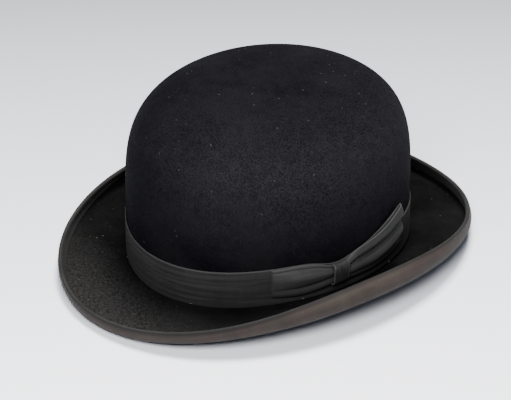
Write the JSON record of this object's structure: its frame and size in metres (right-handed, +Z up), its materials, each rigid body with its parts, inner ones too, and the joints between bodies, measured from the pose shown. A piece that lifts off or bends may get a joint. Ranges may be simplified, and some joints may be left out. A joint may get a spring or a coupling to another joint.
{
  "type": "bowler hat",
  "caption": "Stiff black felt bowler hat: domed crown, brim curled up at the sides with a ribbon binding, grosgrain band with side bow, leather sweatband and satin lining.",
  "frame": {"origin": "on the table under the middle of the hat's outline; the hat stands on z = 0 on the front and the back of its brim", "axes": "+Z up through the crown, -Y the front of the hat, +X the wearer's left with the bow"},
  "size_m": [0.2384, 0.3067, 0.1376],
  "materials": {
    "felt": "stiffened wool felt, dull nap",
    "band_ribbon": "grosgrain ribbon, soft sheen",
    "binding_ribbon": "faded grosgrain ribbon",
    "black_thread": "matt cotton thread",
    "pale_thread": "waxed linen thread",
    "hat_leather": "smooth roan leather, satin",
    "reed": "matt",
    "trim_ribbon": "satin ribbon",
    "lining_satin": "satin",
    "piping_cord": "satin-covered cord",
    "ticket_paper": "uncoated paper"
  },
  "bodies": {
    "root": {"felt_body": "felt", "brim_binding": "binding_ribbon", "hat_band": "band_ribbon", "bow_front_loop": "band_ribbon", "bow_rear_fan": "band_ribbon", "bow_knot": "band_ribbon", "band_tacks": "black_thread", "sweatband": "hat_leather", "sweatband_reed": "reed", "sweatband_stitches": "pale_thread", "sweatband_joint_strip": "hat_leather", "sweatband_bow": "trim_ribbon", "lining_side": "lining_satin", "lining_tip": "lining_satin", "lining_piping": "piping_cord", "size_ticket": "ticket_paper"}
  },
  "joints": []
}
